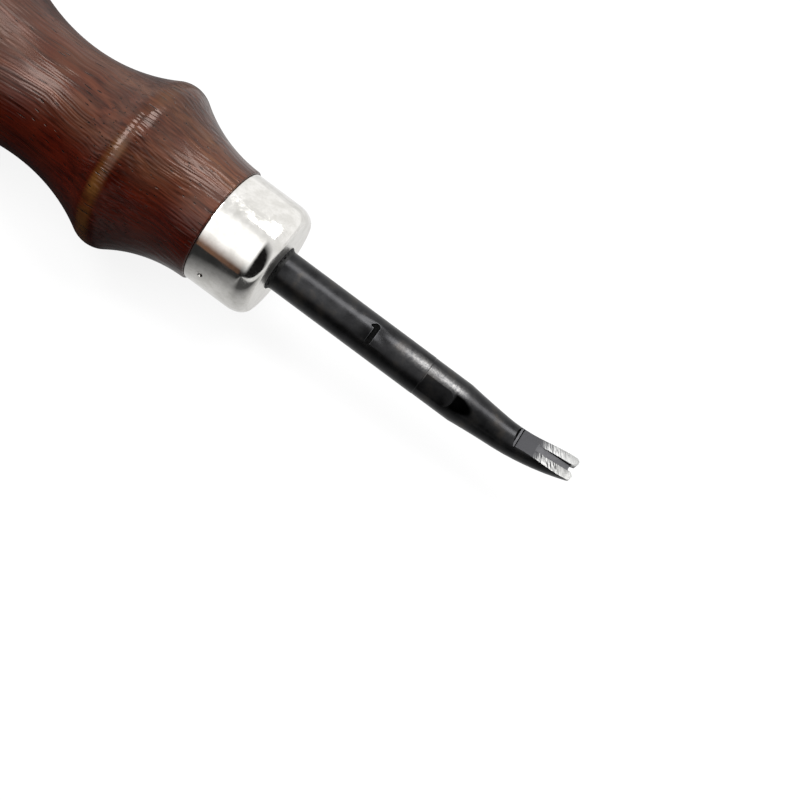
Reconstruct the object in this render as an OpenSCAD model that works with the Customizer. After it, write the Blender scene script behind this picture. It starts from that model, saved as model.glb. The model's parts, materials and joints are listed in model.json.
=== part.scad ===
// Leatherworker's edge trimming tool: a forked steel cutter set in a turned wooden handle.
// The origin is on the tool's axis, where the bare shank leaves the bond's lip.
// +X runs along the shank to the prongs, and the chip channel opens towards +Z.

/* [Shank] */
// Radius of the full-size round shank
shank_r = 2.5; // [2.2:0.05:3]
// Length of the full-size shank, from the lip to the scribed ring
shank_len = 19.9; // [14:0.1:40]
// How much smaller in radius the shank is ground ahead of the ring
grind_step = 0.03; // [0.02:0.01:0.1]
// Length of the ground part, from the ring to the start of the taper
ground_len = 5.1; // [5:0.1:12]

/* [Shank flat] */
// Depth of the flat ground into the shank ahead of the ring
flat_depth = 0.25; // [0.1:0.05:0.4]
// Distance from the ring to the start of the flat
flat_gap = 0.1; // [0.05:0.05:0.2]
// Length of the flat
flat_len = 4.1; // [3:0.1:4.8]
// Angle of the flat around the shank, from +Z towards -Y
flat_angle = 52; // [0:1:90]

/* [Size numeral] */
// Distance of the stamped numeral from the lip
numeral_at = 12.5; // [4:0.1:13]
// Height of the numeral, around the shank
numeral_h = 2.4; // [1.5:0.1:2.6]
// Width of the numeral's stroke
numeral_stroke = 0.6; // [0.3:0.05:0.8]
// Reach of the numeral's flag beyond its stem
numeral_flag = 0.5; // [0.3:0.05:0.8]
// Depth of the stamping, from the top of the shank
numeral_depth = 0.45; // [0.3:0.05:0.6]
// Angle of the numeral around the shank, from +Z towards -Y
numeral_angle = 26; // [0:1:90]

/* [Head] */
// Length of the head along X, from the start of the taper to the prong tips
head_len = 14.8; // [14:0.1:18]
// Radius of the bar that the prongs are cut from, at their tips
tip_r = 1.68; // [1.5:0.02:1.8]
// Distance from the start of the taper to the start of the upward bend
bend_at = 5.2; // [4:0.1:6]
// Rise of the bar's centre line at the prong tips
tip_rise = 3.33; // [3:0.01:3.6]
// Distance from the start of the taper to the step behind the bed
step_at = 7.05; // [6.5:0.05:7.5]
// Length of the ledge between the step and the bed
ledge_len = 0.75; // [0.4:0.05:1.2]
// Height of the ledge above the axis
ledge_z = 1.36; // [1.2:0.02:1.5]
// Height of the bed above the ledge where they meet
bed_lift = 0.08; // [0.04:0.02:0.2]
// Height of the bed above the axis at the prong tips
bed_tip_z = 2.68; // [2.4:0.01:2.8]
// Radius of the milling cutter that left the step
mill_r = 2.2; // [1.8:0.1:3]

/* [Cutting edge] */
// Width of the chip channel and of the notch between the prongs
channel_w = 0.9; // [0.6:0.05:1.2]
// Depth of the chip channel below the bed at the cutting edge
channel_depth = 0.3; // [0.15:0.01:0.4]
// Length of the chip channel from its run-out in the bed to the cutting edge
channel_len = 4.2; // [2:0.1:5]
// Distance of the cutting edge behind the prong tips
edge_back = 0.7; // [0.65:0.05:1.2]
// How far the cutting edge is hollowed between the prongs
edge_bow = 0.12; // [0.05:0.01:0.2]
// Thickness of steel left at the cutting edge
edge_land = 0.06; // [0.04:0.01:0.15]
// Width of the round guide groove on the underside
groove_w = 1.9; // [1.2:0.05:2.2]
// Length of the guide groove on the underside, behind the cutting edge
groove_len = 5.4; // [4:0.1:6]
// Radius of the rounded prong tips
prong_round = 0.62; // [0.4:0.02:0.64]

/* [Tang] */
// How much smaller in radius the neck is behind the shank
neck_step = 0.25; // [0.2:0.05:0.4]
// Length of the round neck behind the lip
neck_len = 3; // [2:0.1:6]
// Side of the square tang at its root
tang_root = 3.1; // [2.5:0.1:3.2]
// Side of the square tang at its end
tang_end = 2; // [1:0.1:2.4]
// Length of the square tang behind the neck
tang_len = 29; // [15:0.5:35]

/* [Bond] */
// Thickness of the resin around the neck
bond_wall = 0.55; // [0.4:0.05:0.8]
// How far the resin lip stands out of the ferrule
lip_len = 0.6; // [0.3:0.05:1]
// Depth of resin beyond the end of the tang
bond_end = 1; // [0.5:0.1:3]

/* [Ferrule] */
// Outer radius of the ferrule
ferrule_r = 7.1; // [6:0.05:7.3]
// Length of the ferrule
ferrule_len = 8; // [6:0.1:14]
// Thickness of the ferrule's metal
ferrule_wall = 0.55; // [0.4:0.05:0.8]
// Radius of the rounded front shoulder
ferrule_round = 1.3; // [0.9:0.05:2]
// Radius of the punch that staked the ferrule
stake_r = 0.45; // [0.3:0.05:0.6]
// Depth of the two stake marks
stake_depth = 0.22; // [0.1:0.02:0.3]
// Distance of the stake marks from the ferrule's rear edge
stake_at = 2; // [1.2:0.1:4]

/* [Handle] */
// Radius of the wood where it meets the ferrule
neck_r = 7.35; // [7.35:0.05:9]
// Distance from the ferrule's rear edge to the crest of the finger ring
crest_at = 11.1; // [9:0.1:14]
// Radius of the crest
crest_r = 10.8; // [10:0.05:13]
// Rounding of the crest
crest_round = 2.8; // [1:0.1:4]
// Distance from the ferrule's rear edge to the waist
waist_at = 23.1; // [21:0.1:30]
// Radius of the waist
waist_r = 7.6; // [6:0.05:8.5]
// Radius of the hollow curve that leads from the waist to the bulb
swell_r = 23; // [15:0.5:35]
// Distance from the ferrule's rear edge to the widest part of the bulb
bulb_at = 55; // [50:0.5:70]
// Radius of the bulb
bulb_r = 12.8; // [11:0.1:15]
// Length of the rounded butt behind the widest part of the bulb
butt_len = 28; // [15:0.5:40]

/* [Hidden] */
$fn = 64;

// Stations along X
ground_r = shank_r - grind_step;
taper_x = shank_len + ground_len;
tip_x = taper_x + head_len;
bend_x = taper_x + bend_at;
step_x = taper_x + step_at;
bed_x = step_x + ledge_len;
bed_z = ledge_z + bed_lift;
bed_slope = atan((bed_tip_z - bed_z) / (tip_x - bed_x));
edge_x = tip_x - edge_back;
run_out_x = edge_x - channel_len;
run_out_z = bed_z + (run_out_x - bed_x) * tan(bed_slope);
floor_slope = atan(tan(bed_slope) - channel_depth / channel_len);
edge_z = run_out_z + channel_len * tan(floor_slope) - edge_land;
bend_run = tip_x - bend_x;
bend_r = (bend_run * bend_run + tip_rise * tip_rise) / (2 * tip_rise);
ferrule_front = -lip_len;
ferrule_back = ferrule_front - ferrule_len;
tenon_front = ferrule_front - ferrule_wall;
bond_back = -neck_len - tang_len - bond_end;

// Fits
neck_pin_r = shank_r - neck_step;
bond_r = neck_pin_r + bond_wall;
tenon_r = ferrule_r - ferrule_wall;

// How far a cutter runs past the surface that it cuts
past = 1;
// Room that clears the whole bar on any side
room = 2 * shank_r;

// Number of steps in each arc of a turned outline
arc_steps = 10;
// Sides and rings of the bent head
head_sides = 24;
head_rings = 16;
// How quickly the head narrows just ahead of the ground part
taper_power = 2.1;

// Points along an arc about a centre, from one angle to another
function arc(centre, r, from, to) =
    [for (i = [0 : arc_steps]) let (a = from + (to - from) * i / arc_steps) centre + r * [cos(a), sin(a)]];

// Radius of a hollow arc that leaves a low point level and meets a round crest
function cove_r(run, drop, round) = (run * run + drop * drop - round * round) / (2 * (round - drop));

// Direction from one point to another
function heading(from, to) = atan2(to[1] - from[1], to[0] - from[0]);

// Centres of the arcs in the handle's outline, as distance behind the ferrule and radius
crest_c = [crest_at, crest_r - crest_round];
front_cove_r = cove_r(crest_at, neck_r - crest_c[1], crest_round);
front_cove_c = [0, neck_r + front_cove_r];
rear_cove_r = cove_r(waist_at - crest_at, waist_r - crest_c[1], crest_round);
rear_cove_c = [waist_at, waist_r + rear_cove_r];
swell_c = [waist_at, waist_r + swell_r];
bulb_run = bulb_at - waist_at;
bulb_rise = bulb_r - waist_r;
bulb_arc_r = (bulb_run * bulb_run + bulb_rise * bulb_rise) / (2 * bulb_rise) - swell_r;
bulb_c = [bulb_at, bulb_r - bulb_arc_r];

to_crest_front = heading(front_cove_c, crest_c);
to_crest_rear = heading(rear_cove_c, crest_c);
to_bulb = heading(swell_c, bulb_c);

// Outline of the turned handle behind the ferrule, from the neck to the butt
handle_outline = concat(
    arc(front_cove_c, front_cove_r, -90, to_crest_front),
    arc(crest_c, crest_round, to_crest_front + 180, to_crest_rear + 180),
    arc(rear_cove_c, rear_cove_r, to_crest_rear, -90),
    arc(swell_c, swell_r, -90, to_bulb),
    arc(bulb_c, bulb_arc_r, to_bulb + 180, 90),
    [for (i = [1 : arc_steps]) let (a = 90 * i / arc_steps) [bulb_at + butt_len * sin(a), bulb_r * cos(a)]]
);

// Front shoulder of the ferrule, grown inwards by a wall, as distance behind its rear edge and radius
function shoulder(wall) =
    arc([ferrule_round - ferrule_len, ferrule_r - ferrule_round], ferrule_round - wall, 90, 180);

// Turns an outline of distances behind the ferrule and radii about the tool's axis
module turned(outline)
    translate([ferrule_back, 0, 0])
        rotate([0, -90, 0])
            rotate_extrude()
                polygon([for (p = outline) [p[1], p[0]]]);

module handle() color("#5c3429")
    difference() {
        turned(concat(
            handle_outline,
            [[ferrule_wall - ferrule_len, 0]],
            [for (i = [arc_steps : -1 : 0]) shoulder(ferrule_wall)[i]],
            [[0, tenon_r]]
        ));
        translate([bond_back, 0, 0])
            rotate([0, 90, 0])
                cylinder(r = bond_r, h = tenon_front - bond_back + past);
    }

module ferrule() color("#d9d8d2")
    difference() {
        turned(concat(
            [[0, ferrule_r]],
            shoulder(0),
            [[-ferrule_len, bond_r], [ferrule_wall - ferrule_len, bond_r]],
            [for (i = [arc_steps : -1 : 0]) shoulder(ferrule_wall)[i]],
            [[0, tenon_r]]
        ));
        for (side = [-1, 1])
            translate([ferrule_back + stake_at, side * (ferrule_r + stake_r - stake_depth), 0])
                sphere(r = stake_r);
    }

// Radius of the bar at a station of the head
function bar_r(x) =
    let (t = min(1, max(0, (x - taper_x) / head_len))) tip_r + (ground_r - tip_r) * pow(1 - t, taper_power);

// Turn and rise of the bar's centre line at a station of the head
function bar_turn(x) = asin(max(0, x - bend_x) / bend_r);
function bar_rise(x) = bend_r * (1 - cos(bar_turn(x)));

// One ring of points square to the bar's centre line
function bar_ring(x) =
    let (r = bar_r(x), a = bar_turn(x))
        [for (i = [0 : head_sides - 1]) let (b = 360 * i / head_sides)
            [x - r * sin(b) * sin(a), r * cos(b), bar_rise(x) + r * sin(b) * cos(a)]];

// The ground part and the bent, tapering head as one bar, which runs past the prong tips
module bar() {
    stations = concat(
        [shank_len - past],
        [for (i = [0 : head_rings]) taper_x + (head_len + past) * i / head_rings]
    );
    last = len(stations) - 1;
    points = [for (x = stations) each bar_ring(x)];
    sides = [for (k = [0 : last - 1], i = [0 : head_sides - 1])
        let (j = (i + 1) % head_sides)
            [k * head_sides + i, (k + 1) * head_sides + i, (k + 1) * head_sides + j, k * head_sides + j]];
    back = [for (i = [0 : head_sides - 1]) i];
    front = [for (i = [head_sides - 1 : -1 : 0]) last * head_sides + i];
    polyhedron(points, concat([back], sides, [front]));
}

// Everything that was milled away above the step, the ledge and the bed
module bed_cut() {
    intersection() {
        translate([step_x + mill_r, 0, ledge_z])
            cylinder(r = mill_r, h = room);
        translate([step_x - past, -room, ledge_z])
            cube([ledge_len + past, 2 * room, room]);
    }
    translate([bed_x, 0, bed_z])
        rotate([0, -bed_slope, 0])
            translate([0, -room, 0])
                cube([2 * head_len, 2 * room, room]);
}

// Slot with one round end, along +X
module slot(w, h) {
    translate([w / 2, 0, 0])
        cylinder(d = w, h = h);
    translate([w / 2, -w / 2, 0])
        cube([head_len, w, h]);
}

// Channel whose floor runs out in the bed behind and is deepest at the cutting edge
module channel_cut()
    translate([run_out_x, 0, run_out_z])
        rotate([0, -floor_slope, 0])
            translate([0, -channel_w / 2, 0])
                cube([head_len, channel_w, room]);

// Gap between the prongs, whose rear end is the cutting edge's shallow arc
module notch_cut() {
    bow_r = (channel_w * channel_w / 4 + edge_bow * edge_bow) / (2 * edge_bow);
    translate([edge_x, 0, -room])
        intersection() {
            translate([0, -channel_w / 2, 0])
                cube([head_len, channel_w, 2 * room]);
            union() {
                translate([bow_r, 0, 0])
                    cylinder(r = bow_r, h = 2 * room);
                translate([bow_r, -channel_w, 0])
                    cube([head_len, 2 * channel_w, 2 * room]);
            }
        }
}

// Hollow on the underside that meets the channel's floor at the cutting edge
module groove_cut() {
    groove_end = edge_x - groove_len;
    groove_end_z = bar_rise(groove_end) - bar_r(groove_end);
    groove_slope = atan((edge_z - groove_end_z) / groove_len);
    translate([edge_x, 0, edge_z])
        rotate([0, -groove_slope, 0]) {
            translate([-head_len, 0, -groove_w / 2])
                rotate([0, 90, 0])
                    cylinder(d = groove_w, h = 2 * head_len);
            translate([-head_len, -groove_w / 2, -room - groove_w / 2])
                cube([2 * head_len, groove_w, room]);
        }
}

// What is ground off in front of the prongs to leave their round tips
module tip_cut() {
    prong_y = channel_w / 2 + prong_round;
    difference() {
        translate([tip_x - prong_round, -room, -room])
            cube([2 * room, 2 * room, 3 * room]);
        for (side = [-1, 1])
            translate([tip_x - prong_round, side * prong_y, -room - past])
                cylinder(r = prong_round, h = 3 * room + 2 * past);
    }
}

// Flat with a round front end, as wide as the ground part is at its depth
module flat_cut() {
    flat_z = ground_r - flat_depth;
    half_w = sqrt(ground_r * ground_r - flat_z * flat_z) + grind_step;
    rotate([flat_angle, 0, 0])
        translate([shank_len + flat_gap + flat_len, 0, flat_z])
            mirror([1, 0, 0])
                intersection() {
                    slot(2 * half_w, shank_r);
                    translate([0, -half_w, 0])
                        cube([flat_len, 2 * half_w, shank_r]);
                }
}

// A plain figure one: a stem with a short flag
module numeral_cut()
    rotate([numeral_angle, 0, 0])
        translate([numeral_at, 0, shank_r - numeral_depth])
            linear_extrude(height = shank_r)
                polygon([
                    [-numeral_stroke / 2, -numeral_h / 2],
                    [numeral_stroke / 2, -numeral_h / 2],
                    [numeral_stroke / 2, numeral_h / 2],
                    [-numeral_stroke / 2, numeral_h / 2],
                    [-numeral_stroke / 2 - numeral_flag, numeral_h / 2 - numeral_stroke],
                    [-numeral_stroke / 2, numeral_h / 2 - numeral_stroke]
                ]);

// Square tang that tapers both ways, behind the neck
module tang() {
    module taper()
        translate([0, tang_root, 0])
            rotate([90, 0, 0])
                linear_extrude(height = 2 * tang_root)
                    polygon([
                        [0, -tang_root / 2],
                        [0, tang_root / 2],
                        [-tang_len, tang_end / 2],
                        [-tang_len, -tang_end / 2]
                    ]);
    translate([-neck_len, 0, 0])
        intersection() {
            taper();
            rotate([90, 0, 0])
                taper();
        }
}

module neck()
    translate([-neck_len, 0, 0])
        rotate([0, 90, 0])
            cylinder(r = neck_pin_r, h = neck_len);

module blade() color("#26262a") {
    difference() {
        union() {
            tang();
            neck();
            rotate([0, 90, 0])
                cylinder(r = shank_r, h = shank_len);
            bar();
        }
        bed_cut();
        channel_cut();
        notch_cut();
        groove_cut();
        tip_cut();
        flat_cut();
        numeral_cut();
    }
}

// Resin around the tang, whose lip narrows to the shank in front of the ferrule
module tang_bond() color("#1b1a19")
    difference() {
        turned([
            [ferrule_back - bond_back, 0],
            [ferrule_back - bond_back, bond_r],
            [-ferrule_len, bond_r],
            [ferrule_back, shank_r],
            [ferrule_back, 0]
        ]);
        tang();
        neck();
    }

handle();
ferrule();
blade();
tang_bond();
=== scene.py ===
# %% [markdown]
# # An edge trimming tool for leather
# The tool is a forked steel cutter on a round shank, set through a nickel-plated ferrule into a turned
# wooden handle. Its solids already exist at their real size, so this lesson gives each of the four pieces
# its finished surface: crisp and worn edges, wood grain, plating, blackened steel, and the light to show
# them. The first cell loads the solids and gives a way to read their boxes.

# %% Load the solids
import json
import math

import bmesh
import bpy
from mathutils import Matrix, Vector


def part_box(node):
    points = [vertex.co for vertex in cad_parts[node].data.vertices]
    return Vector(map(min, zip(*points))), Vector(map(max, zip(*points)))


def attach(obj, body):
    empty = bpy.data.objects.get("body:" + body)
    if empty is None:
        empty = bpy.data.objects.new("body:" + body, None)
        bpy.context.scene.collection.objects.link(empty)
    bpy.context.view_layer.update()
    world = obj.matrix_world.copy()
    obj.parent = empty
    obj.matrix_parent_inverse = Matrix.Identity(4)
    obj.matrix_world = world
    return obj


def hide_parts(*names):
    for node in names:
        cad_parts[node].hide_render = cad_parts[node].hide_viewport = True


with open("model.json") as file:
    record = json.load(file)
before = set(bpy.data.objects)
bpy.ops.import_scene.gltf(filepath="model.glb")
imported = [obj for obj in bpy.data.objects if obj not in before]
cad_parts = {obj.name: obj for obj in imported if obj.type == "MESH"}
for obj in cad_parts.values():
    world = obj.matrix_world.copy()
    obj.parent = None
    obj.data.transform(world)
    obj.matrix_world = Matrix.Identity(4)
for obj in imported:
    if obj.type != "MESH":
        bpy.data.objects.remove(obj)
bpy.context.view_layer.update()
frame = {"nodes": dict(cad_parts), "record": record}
print("solids:", sorted(frame["nodes"]))

# %% [markdown]
# ## Sizes
# Everything below is drawn in millimetres and shrunk to metres when a piece is done, because tenths of a
# millimetre are easier to read and to weld than ten-thousandths of a metre. Overall sizes come from the
# solids and from the mount that the record states. The tool lies along X, with its tip towards +X.

# %% Read the main sizes from the solids
MM = 0.001
WELD = 1e-4


def box_mm(name):
    """The corners of a node's box, in millimetres."""
    low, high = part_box(name)
    return low / MM, high / MM


shank = next(m["dims"] for m in frame["record"]["mounts"] if m["name"] == "shank")
shank_r = shank["r_mm"]
shank_len = shank["length_mm"]
tip_x = box_mm("blade")[1].x
tang_back = box_mm("blade")[0].x
ferrule_back = box_mm("ferrule")[0].x
ferrule_front = box_mm("ferrule")[1].x
ferrule_r = box_mm("ferrule")[1].z
ferrule_len = ferrule_front - ferrule_back
bond_back = box_mm("tang_bond")[0].x
bond_r = box_mm("tang_bond")[1].z
butt_x = box_mm("handle")[0].x
bulb_r = box_mm("handle")[1].z
print(f"shank {2 * shank_r} x {shank_len} mm, tip at {tip_x:.1f}, butt at {butt_x:.1f}")

# %% [markdown]
# ## Camera
# The photograph was taken from close by, so its perspective matters. Four things fix the view: where the
# shank leaves its lip in the picture, how the tool's axis slopes there, how many pixels a millimetre
# takes there, and how far the tool is rolled about its axis. The camera is worked out from those, with
# the picture taken as 800 pixels square.

# %% Place the camera
PICTURE = 800
focal_px = 1050
px_per_mm = 8.81
lip_px = Vector((283.4, 271.2))
axis_slope = math.radians(36.6)
axis_towards_viewer = -0.02
roll = math.radians(34)

across = math.sqrt(1 - axis_towards_viewer ** 2)
axis = Vector((math.cos(axis_slope) * across, -math.sin(axis_slope) * across, axis_towards_viewer))
towards = Vector((0, 0, 1))
nearest = (towards - towards.dot(axis) * axis).normalized()
upper = nearest.cross(axis)
side = math.cos(roll) * upper - math.sin(roll) * nearest
top = math.sin(roll) * upper + math.cos(roll) * nearest
seen_to_tool = Matrix((axis, side, top))
depth = focal_px / px_per_mm * MM
lip_seen = Vector((lip_px.x - PICTURE / 2, PICTURE / 2 - lip_px.y, -focal_px)) * depth / focal_px

camera = bpy.data.objects.new("camera", bpy.data.cameras.new("camera"))
bpy.context.scene.collection.objects.link(camera)
camera.matrix_world = Matrix.Translation(-(seen_to_tool @ lip_seen)) @ seen_to_tool.to_4x4()
camera.data.sensor_width = 36
camera.data.lens = focal_px / PICTURE * camera.data.sensor_width
camera.data.clip_start = 0.005
bpy.context.scene.camera = camera
print("camera at", [round(v / MM, 1) for v in camera.matrix_world.translation], "mm")

# %% [markdown]
# ## Tools for the lathe and the mill
# The real pieces are turned and milled, and Blender can follow. A turned piece starts as one vertex,
# which is extruded along its outline and then spun about X. A milling cut is a flat outline, filled and
# extruded to a prism, that a Boolean modifier takes away. Both need only a few helpers.

# %% Helpers for outlines, turning and cutting
def arc(centre, radius, start, end, steps=20):
    """Points along an arc in a plane. The angles are in degrees."""
    angles = [math.radians(start + (end - start) * i / steps) for i in range(steps + 1)]
    return [(centre[0] + radius * math.cos(a), centre[1] + radius * math.sin(a)) for a in angles]


def edit(piece):
    """Makes a piece the only selected one and opens it in edit mode with all of it selected."""
    bpy.ops.object.select_all(action="DESELECT")
    piece.select_set(True)
    bpy.context.view_layer.objects.active = piece
    bpy.ops.object.mode_set(mode="EDIT")
    bpy.ops.mesh.select_mode(type="VERT")
    bpy.ops.mesh.select_all(action="SELECT")


def draw(name, points):
    """Draws a chain of edges: one vertex goes to the first point and is extruded to each next one."""
    bpy.ops.object.select_all(action="DESELECT")
    bpy.ops.mesh.primitive_plane_add()
    piece = bpy.context.object
    piece.name = piece.data.name = name
    edit(piece)
    bpy.ops.mesh.merge(type="CENTER")
    bpy.ops.transform.translate(value=points[0])
    for here, there in zip(points, points[1:]):
        step = Vector(there) - Vector(here)
        bpy.ops.mesh.extrude_vertices_move(TRANSFORM_OT_translate={"value": step})
    bpy.ops.mesh.select_all(action="SELECT")
    bpy.ops.mesh.remove_doubles(threshold=WELD)
    return piece


def close_up(piece):
    """Welds a piece in edit mode, turns its faces outwards and reports what is still open."""
    bpy.ops.mesh.select_all(action="SELECT")
    bpy.ops.mesh.remove_doubles(threshold=WELD)
    bpy.ops.mesh.normals_make_consistent(inside=False)
    bpy.ops.mesh.select_all(action="DESELECT")
    bpy.ops.mesh.select_mode(type="EDGE")
    bpy.ops.mesh.select_non_manifold()
    bpy.ops.object.mode_set(mode="OBJECT")
    open_edges = sum(edge.select for edge in piece.data.edges)
    print(f"{piece.name}: {len(piece.data.polygons)} faces, {open_edges} open edges")
    return piece


def turn(name, outline, steps):
    """Spins an outline of X places and radii about the tool's axis."""
    piece = draw(name, [(x, 0, r) for x, r in outline])
    bpy.ops.mesh.spin(steps=steps, angle=math.tau, center=(0, 0, 0), axis=(1, 0, 0))
    return close_up(piece)


def prism(name, outline, low, high):
    """Fills a closed outline in X and Y and extrudes it from one height to another."""
    piece = draw(name, [(x, y, low) for x, y in [*outline, outline[0]]])
    bpy.ops.mesh.edge_face_add()
    bpy.ops.mesh.extrude_region_move(TRANSFORM_OT_translate={"value": (0, 0, high - low)})
    return close_up(piece)


def cut(piece, cutter, operation="DIFFERENCE"):
    """Applies a Boolean with a cutter and deletes the cutter."""
    bpy.ops.object.select_all(action="DESELECT")
    bpy.context.view_layer.objects.active = piece
    modifier = piece.modifiers.new("cut", "BOOLEAN")
    modifier.operation = operation
    modifier.object = cutter
    bpy.ops.object.modifier_apply(modifier=modifier.name)
    bpy.data.objects.remove(cutter)


def dress(piece, node, slot, smooth_angle, *materials):
    """Shrinks a finished piece to metres, gives it its materials, hangs it on the root body and hides the
    solid it stands for.
    """
    bpy.ops.object.select_all(action="DESELECT")
    piece.select_set(True)
    bpy.context.view_layer.objects.active = piece
    piece.scale = (MM, MM, MM)
    bpy.ops.object.transform_apply(location=True, rotation=True, scale=True)
    bpy.ops.object.shade_smooth_by_angle(angle=math.radians(smooth_angle))
    for material in materials:
        piece.data.materials.append(material)
    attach(piece, "root")
    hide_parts(node)
    print(f"{piece.name} stands for {node}, {len(piece.data.vertices)} vertices")


print("helpers ready")

# %% [markdown]
# ## Helpers for materials
# A material is a small tree of nodes. One function adds a node, sets its options and links its inputs,
# where a node stands for its first output. Another turns the sRGB hex colours that are easy to compare
# with a picture into the linear values that the shader needs. Patterns read Object coordinates, which are
# metres here, so a pattern's size in millimetres is turned into a scale with `per`.

# %% Add nodes and colours
def linear(hex_colour):
    """An sRGB hex colour as linear RGBA."""
    parts = [int(hex_colour[i:i + 2], 16) / 255 for i in (1, 3, 5)]
    return (*[p / 12.92 if p <= 0.04045 else ((p + 0.055) / 1.055) ** 2.4 for p in parts], 1)


def per(*sizes):
    """Scales for a pattern that repeats about every so many millimetres along X, Y and Z."""
    return tuple(1 / (size * MM) for size in sizes)


def add(tree, kind, inputs=None, stops=None, **options):
    """Adds a shader node with its options, its set or linked inputs, and a colour ramp's stops."""
    made = tree.nodes.new("ShaderNode" + kind)
    for name, value in options.items():
        setattr(made, name, value)
    for name, value in (inputs or {}).items():
        if isinstance(value, bpy.types.Node):
            value = next(socket for socket in value.outputs if socket.enabled)
        if isinstance(value, bpy.types.NodeSocket):
            tree.links.new(value, made.inputs[name])
        else:
            made.inputs[name].default_value = value
    if stops:
        while len(made.color_ramp.elements) < len(stops):
            made.color_ramp.elements.new(1)
        for element, (place, colour) in zip(made.color_ramp.elements, stops):
            element.position = place
            element.color = linear(colour)
    return made


def new_material(name):
    """A material with its node tree, its shader and the Object coordinates of the piece."""
    material = bpy.data.materials.new(name)
    material.use_nodes = True
    tree = material.node_tree
    place = add(tree, "TexCoord").outputs["Object"]
    return material, tree, tree.nodes["Principled BSDF"], place


print("colour check:", [round(v, 3) for v in linear("#808080")])

# %% [markdown]
# ## Oiled walnut
# The handle is a dark, reddish walnut, turned with its grain along the tool and rubbed with oil. A
# picture of wood would have to be wrapped round it, and would bend with its shape, so solid noise is
# used: stretched along X, it runs through the wood, and a turned hollow cuts its layers in curved lines
# by itself, as a lathe does. The eye sees broad streaks, dark veins, fine fibres, browner patches and
# short black pores. Shade is painted into the colour as well: the lower side, towards the viewer, is made
# redder and darker, and the far, upper side a little darker. Where the tool is gripped, the ring's crest
# is rubbed to a patchy tan. Shallow furrows and sunken pores break up the sheen, which is warmed by the
# fibres under the oil and duller behind the waist.

# %% Make the walnut
crest_at = 11.1
crest_x = ferrule_back - crest_at
ring_angle = math.radians(36)
layer_sizes = ((60, 5, 9), (40, 1.3, 5), (16, 0.34, 1.2), (3.5, 0.26, 0.7))
layer_details = (4, 4, 4, 0)
satin_from = crest_x - 14
satin_to = crest_x - 18


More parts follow.
